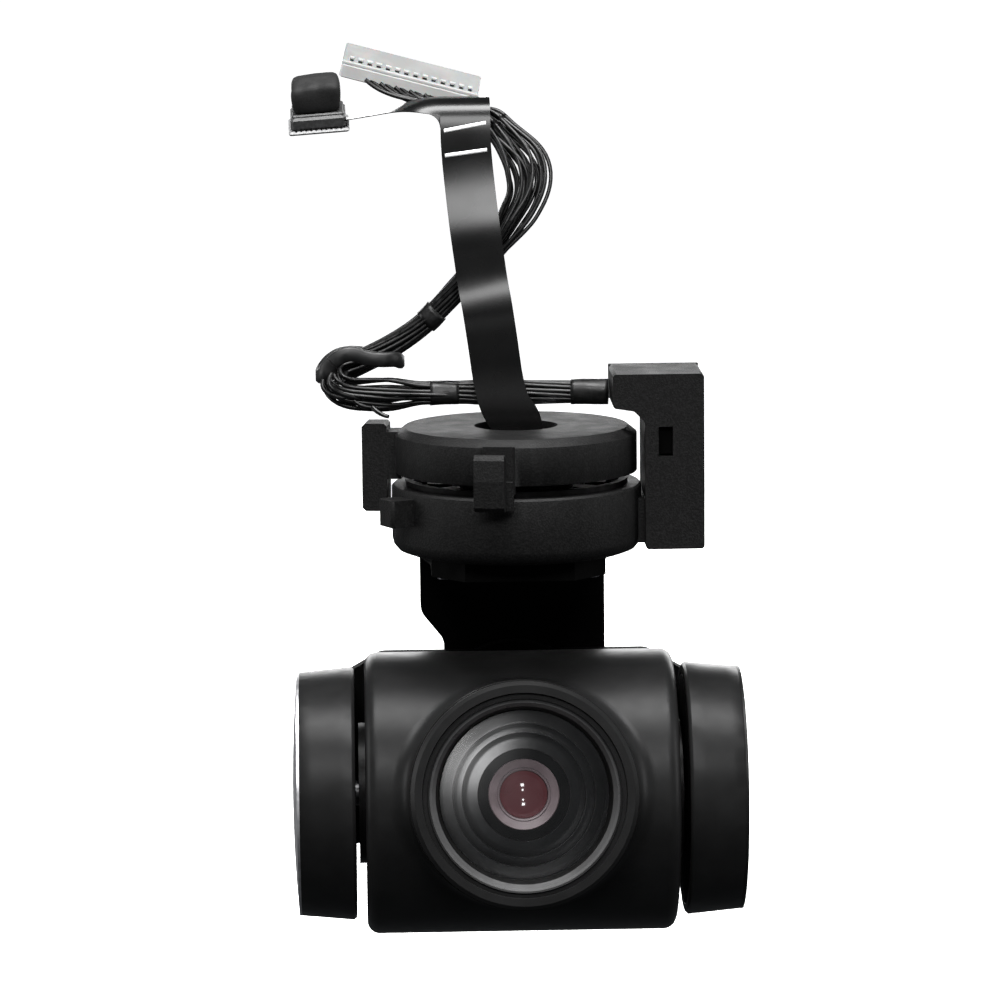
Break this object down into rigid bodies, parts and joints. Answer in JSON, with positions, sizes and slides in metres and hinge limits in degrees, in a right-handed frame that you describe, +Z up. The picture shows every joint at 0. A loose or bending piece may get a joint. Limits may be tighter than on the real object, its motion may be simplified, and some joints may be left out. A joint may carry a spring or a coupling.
{
  "type": "camera gimbal",
  "caption": "Hanging motorised camera gimbal for a small drone: yaw, roll and tilt motors turn a barrel-shaped camera head; ribbon and wire harness go to the aircraft.",
  "frame": {"origin": "centre of the fixed upper housing's flat top face, on the yaw axis", "axes": "+Z up along the yaw axis, -Y the way the lens looks, +X towards the control box"},
  "size_m": [0.055, 0.0518, 0.1074],
  "materials": {
    "housing_plastic": "fine spark-eroded texture, matte",
    "arm_plastic": "matte deep black",
    "satin_shell": "satin black paint",
    "silver_cap": "satin silver",
    "grey_ring": "turned, anodised grey",
    "lens_black": "light-trap black",
    "retainer": "satin",
    "optical_glass": "coated, clear",
    "copper_wire": "enamelled",
    "motor_steel": "blackened laminations",
    "bright_steel": "ground",
    "magnet": "nickel plated",
    "screw_steel": "black oxide",
    "circuit_board": "solder mask",
    "chip": "moulded",
    "polyimide": "glossy black cover film with white legend lines",
    "white_nylon": "moulded nylon",
    "connector": "moulded",
    "foam": "closed-cell foam",
    "wire": "thin silicone wires",
    "sleeve": "heat-shrink and tape"
  },
  "bodies": {
    "mount": {"upper_housing": "housing_plastic", "yaw_stator": "motor_steel", "yaw_windings": "copper_wire", "yaw_driver_board": "circuit_board", "yaw_bearings": "bright_steel", "flex_ribbon": "polyimide", "board_connector": "connector", "foam_pad": "foam", "wire_harness": "wire", "harness_sleeves": "sleeve", "rubber_loop": "sleeve", "harness_plug": "white_nylon"},
    "yaw_frame": {"lower_housing": "housing_plastic", "yaw_shaft": "bright_steel", "yaw_shaft_clip": "bright_steel", "yaw_flux_ring": "motor_steel", "yaw_magnets": "magnet", "control_box_case": "housing_plastic", "control_box_lid": "housing_plastic", "control_board": "circuit_board", "service_port": "chip", "yaw_arm": "arm_plastic", "frame_screws": "screw_steel", "roll_motor_cap": "arm_plastic", "arm_flex": "polyimide", "roll_stator": "motor_steel", "roll_windings": "copper_wire", "roll_bearings": "bright_steel", "harness_boot": "sleeve"},
    "roll_frame": {"roll_yoke": "arm_plastic", "roll_rotor_bell": "motor_steel", "roll_shaft": "bright_steel", "roll_magnets": "magnet", "left_pod_housing": "satin_shell", "right_pod_housing": "satin_shell", "left_end_cap": "silver_cap", "right_end_cap": "satin_shell", "tilt_stator": "motor_steel", "tilt_windings": "copper_wire", "tilt_bearings": "bright_steel", "tilt_sensor_board": "circuit_board"},
    "camera_head": {"head_front_shell": "satin_shell", "head_rear_shell": "satin_shell", "head_screws": "screw_steel", "tilt_hubs": "satin_shell", "tilt_shafts": "bright_steel", "tilt_rotor_bell": "motor_steel", "tilt_magnets": "magnet", "lens_bezel": "satin_shell", "lens_trim_ring": "grey_ring", "lens_cup": "lens_black", "front_glass": "optical_glass", "lens_barrel": "lens_black", "lens_retainer": "retainer", "inner_lenses": "optical_glass", "aperture_plate": "lens_black", "image_sensor": "chip", "sensor_board": "circuit_board", "lens_holder": "lens_black", "video_board": "circuit_board"}
  },
  "joints": [
    {"name": "yaw", "type": "hinge", "parent": "mount", "child": "yaw_frame", "pos_m": [0, 0, 0], "axis": [0, 0, 1], "range_deg": [-18, 36], "deforming": ["wire_harness"]},
    {"name": "roll", "type": "hinge", "parent": "yaw_frame", "child": "roll_frame", "pos_m": [0, 0, -0.0388], "axis": [0, 1, 0], "range_deg": [-30, 30]},
    {"name": "tilt", "type": "hinge", "parent": "roll_frame", "child": "camera_head", "pos_m": [0, 0, -0.0447], "axis": [1, 0, 0], "range_deg": [-20, 99]}
  ]
}
